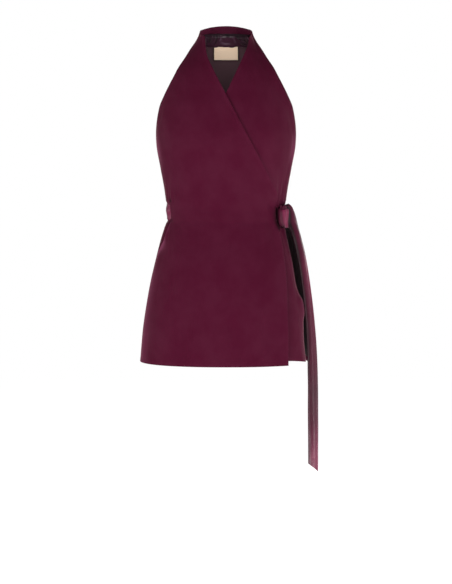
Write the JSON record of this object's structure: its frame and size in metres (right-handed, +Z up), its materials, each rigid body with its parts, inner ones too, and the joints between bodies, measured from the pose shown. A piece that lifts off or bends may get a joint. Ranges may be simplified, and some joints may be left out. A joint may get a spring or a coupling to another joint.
{
  "type": "waistcoat",
  "caption": "Halter-neck wrap waistcoat in its hollow worn form, with a stand collar, open side vents and a satin tie knotted at the left waist.",
  "frame": {"origin": "middle of the neck opening at the height of the neck seam, where the wearer's neck holds the garment", "axes": "+Z up along the body, -Y the garment's front, +X the wearer's left"},
  "size_m": [0.4216, 0.2727, 1.0525],
  "materials": {
    "front_right": "wine crepe, soft matt",
    "front_left": "wine crepe, soft matt",
    "back": "wine crepe, soft matt",
    "back_lining": "dark plum lining, slight sheen",
    "collar": "wine crepe, soft matt",
    "neck_facing": "dark plum satin",
    "label": "cream woven tape",
    "tie_band": "rose wine satin",
    "knot": "rose wine satin",
    "tie_tail": "rose wine satin"
  },
  "bodies": {
    "root": {"front_right": "front_right", "front_left": "front_left", "back": "back", "back_lining": "back_lining", "collar": "collar", "neck_facing": "neck_facing", "label": "label", "tie_band": "tie_band", "knot": "knot", "tie_tail": "tie_tail"}
  },
  "joints": []
}
